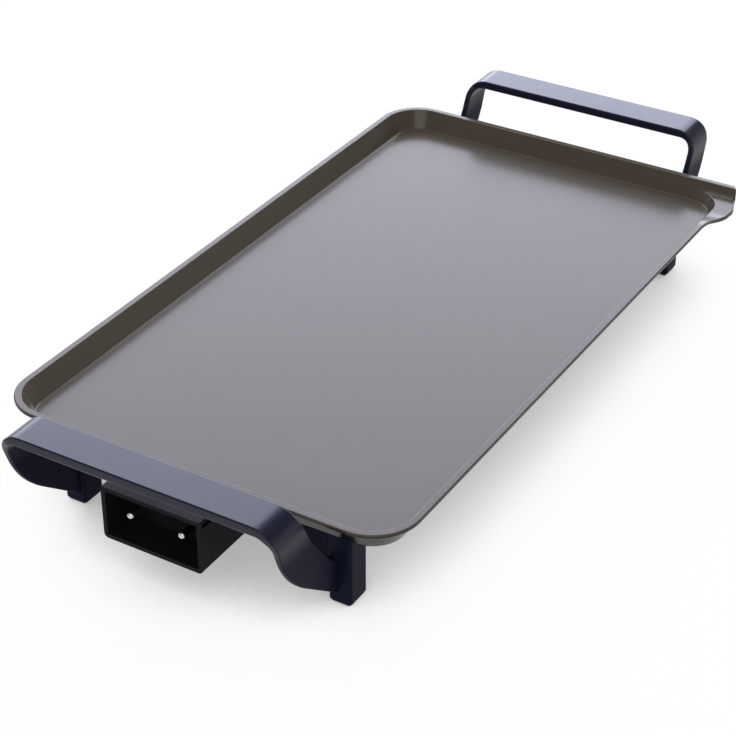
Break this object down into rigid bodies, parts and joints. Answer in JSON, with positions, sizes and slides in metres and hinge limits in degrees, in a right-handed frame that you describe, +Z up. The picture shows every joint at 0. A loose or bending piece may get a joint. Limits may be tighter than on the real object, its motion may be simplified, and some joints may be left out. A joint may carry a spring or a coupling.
{
  "type": "electric teppanyaki grill",
  "caption": "Countertop electric teppanyaki grill: long shallow non-stick plate with a pouring beak, moulded handle frames with feet at both ends and a two-pin connector socket.",
  "frame": {"origin": "on the table, below the middle of the cooking plate", "axes": "+Z up from the table, +Y along the plate to the rear handle, +X to the right seen from the socket"},
  "size_m": [0.2775, 0.5692, 0.088],
  "materials": {
    "coated_plate": "satin non-stick coat over cast aluminium",
    "element_sheath": "dull heat-darkened steel tube",
    "plated_pin": "bright nickel plate",
    "ceramic": "matte unglazed ceramic",
    "brass": "drawn brass, satin",
    "zinc_steel": "zinc plated, satin",
    "socket_plastic": "satin moulded, fine grain",
    "frame_plastic": "satin moulded, fine grain",
    "pad_rubber": "matte"
  },
  "bodies": {
    "root": {"cooking_plate": "coated_plate", "heating_element": "element_sheath", "terminal_pin_left": "plated_pin", "terminal_pin_right": "plated_pin", "pin_insulator_left": "ceramic", "pin_insulator_right": "ceramic", "probe_sleeve": "brass", "terminal_bracket": "zinc_steel", "earth_contact": "brass", "earth_rivet": "plated_pin", "socket_housing": "socket_plastic", "socket_washers": "zinc_steel", "socket_screws": "zinc_steel", "front_handle": "frame_plastic", "rear_handle": "frame_plastic", "front_handle_washers": "zinc_steel", "rear_handle_washers": "zinc_steel", "front_handle_screws": "zinc_steel", "rear_handle_screws": "zinc_steel", "front_left_foot_pad": "pad_rubber", "front_right_foot_pad": "pad_rubber", "rear_left_foot_pad": "pad_rubber", "rear_right_foot_pad": "pad_rubber"}
  },
  "joints": []
}
